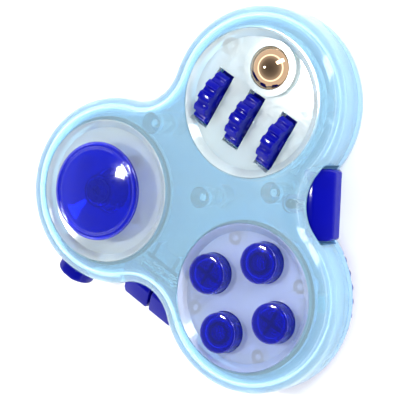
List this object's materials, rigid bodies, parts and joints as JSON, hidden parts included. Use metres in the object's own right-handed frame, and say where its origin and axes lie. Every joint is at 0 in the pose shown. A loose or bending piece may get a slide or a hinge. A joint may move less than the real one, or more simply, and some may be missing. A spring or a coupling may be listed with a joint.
{
  "type": "fidget pad",
  "caption": "Three-lobed handheld fidget pad with a thumb stick, thumb gears, a trackball, face buttons, side triggers, a rocker and a knurled rear dial in a translucent shell.",
  "frame": {"origin": "centre of the outline on the rear face, where the pad rests", "axes": "+Z out of the controls' face, +Y from the button lobe towards the gear lobe, +X from the stick lobe towards the rocker"},
  "size_m": [0.0738, 0.079, 0.0178],
  "materials": {
    "clear_shell": "translucent pale blue plastic, glossy",
    "clear_panel": "translucent pale blue plastic, glossy",
    "tinted_panel": "translucent lavender blue plastic over a blue carrier",
    "blue_plastic": "deep royal blue translucent plastic, satin gloss",
    "carrier_plastic": "blue inner plastic",
    "teal_plastic": "teal inner plastic",
    "polished_steel": "polished steel ball",
    "spring_wire": "drawn spring wire",
    "turned_steel": "turned steel",
    "zinc_fasteners": "zinc-plated steel"
  },
  "bodies": {
    "case": {"front_shell": "clear_shell", "rear_shell": "clear_shell", "stick_panel": "clear_panel", "gear_panel": "clear_panel", "button_panel": "tinted_panel", "stick_base": "carrier_plastic", "stick_base_screws": "zinc_fasteners", "stick_spring": "spring_wire", "gear_cradle": "carrier_plastic", "gear_cradle_screws": "zinc_fasteners", "gear_axle": "turned_steel", "ball_seat": "carrier_plastic", "button_carrier": "carrier_plastic", "button_carrier_screws": "zinc_fasteners", "button_spring_1": "spring_wire", "button_spring_2": "spring_wire", "button_spring_3": "spring_wire", "button_spring_4": "spring_wire", "rocker_pin": "turned_steel", "rocker_spring": "spring_wire", "trigger_spring_1": "spring_wire", "trigger_spring_2": "spring_wire", "side_button_spring": "spring_wire", "dial_washer": "zinc_fasteners", "dial_screw": "zinc_fasteners", "detent_block": "teal_plastic", "detent_pin": "turned_steel", "detent_spring": "spring_wire", "case_screws": "zinc_fasteners"},
    "gimbal": {"stick_gimbal": "turned_steel"},
    "stick": {"stick_stem": "blue_plastic", "stick_cap": "blue_plastic"},
    "gear_1": {"gear_wheel_1": "blue_plastic"},
    "gear_2": {"gear_wheel_2": "blue_plastic"},
    "gear_3": {"gear_wheel_3": "blue_plastic"},
    "ball": {"steel_ball": "polished_steel"},
    "button_1": {"button_1": "blue_plastic"},
    "button_2": {"button_2": "blue_plastic"},
    "button_3": {"button_3": "blue_plastic"},
    "button_4": {"button_4": "blue_plastic"},
    "rocker": {"rocker": "blue_plastic"},
    "trigger_1": {"trigger_1": "blue_plastic"},
    "trigger_2": {"trigger_2": "blue_plastic"},
    "side_button": {"side_button": "blue_plastic"},
    "dial": {"thumb_dial": "blue_plastic"}
  },
  "joints": [
    {"name": "stick_tilt_x", "type": "hinge", "parent": "case", "child": "gimbal", "pos_m": [-0.017, 0, 0.008], "axis": [1, 0, 0], "range_deg": [-9, 9], "stiffness_Nm_per_rad": 0.02},
    {"name": "stick_tilt_y", "type": "hinge", "parent": "gimbal", "child": "stick", "pos_m": [-0.017, 0, 0.008], "axis": [0, 1, 0], "range_deg": [-9, 9], "stiffness_Nm_per_rad": 0.02},
    {"name": "gear_spin_1", "type": "hinge", "parent": "case", "child": "gear_1", "pos_m": [0.0224, 0.01198, 0.0103], "axis": [-0.866, 0.5, 0], "continuous": true},
    {"name": "gear_spin_2", "type": "hinge", "parent": "case", "child": "gear_2", "pos_m": [0.01504, 0.01623, 0.0103], "axis": [-0.866, 0.5, 0], "continuous": true},
    {"name": "gear_spin_3", "type": "hinge", "parent": "case", "child": "gear_3", "pos_m": [0.00768, 0.02048, 0.0103], "axis": [-0.866, 0.5, 0], "continuous": true},
    {"name": "ball_roll", "type": "hinge", "parent": "case", "child": "ball", "pos_m": [0.0211, 0.02674, 0.0113], "axis": [-0.866, 0.5, 0], "continuous": true},
    {"name": "button_press_1", "type": "slide", "parent": "case", "child": "button_1", "axis": [0, 0, -1], "range_m": [0, 0.0016], "stiffness_N_per_m": 250, "springref_m": -0.0012, "deforming": ["button_spring_1"]},
    {"name": "button_press_2", "type": "slide", "parent": "case", "child": "button_2", "axis": [0, 0, -1], "range_m": [0, 0.0016], "stiffness_N_per_m": 250, "springref_m": -0.0012, "deforming": ["button_spring_2"]},
    {"name": "button_press_3", "type": "slide", "parent": "case", "child": "button_3", "axis": [0, 0, -1], "range_m": [0, 0.0016], "stiffness_N_per_m": 250, "springref_m": -0.0012, "deforming": ["button_spring_3"]},
    {"name": "button_press_4", "type": "slide", "parent": "case", "child": "button_4", "axis": [0, 0, -1], "range_m": [0, 0.0016], "stiffness_N_per_m": 250, "springref_m": -0.0012, "deforming": ["button_spring_4"]},
    {"name": "rocker_swing", "type": "hinge", "parent": "case", "child": "rocker", "pos_m": [0.02652, 0, 0.0078], "axis": [0, 0, 1], "range_deg": [-4, 4], "stiffness_Nm_per_rad": 0.05},
    {"name": "trigger_press_1", "type": "slide", "parent": "case", "child": "trigger_1", "axis": [0.5, 0.866, 0], "range_m": [0, 0.0015], "stiffness_N_per_m": 250, "springref_m": -0.001, "deforming": ["trigger_spring_1"]},
    {"name": "trigger_press_2", "type": "slide", "parent": "case", "child": "trigger_2", "axis": [0.5, 0.866, 0], "range_m": [0, 0.0015], "stiffness_N_per_m": 250, "springref_m": -0.001, "deforming": ["trigger_spring_2"]},
    {"name": "side_button_press", "type": "slide", "parent": "case", "child": "side_button", "axis": [0.5, 0.866, 0], "range_m": [0, 0.0015], "stiffness_N_per_m": 250, "springref_m": -0.001, "deforming": ["side_button_spring"]},
    {"name": "dial_spin", "type": "hinge", "parent": "case", "child": "dial", "pos_m": [0.017, -0.01963, 0.0017], "axis": [0, 0, 1], "continuous": true}
  ]
}
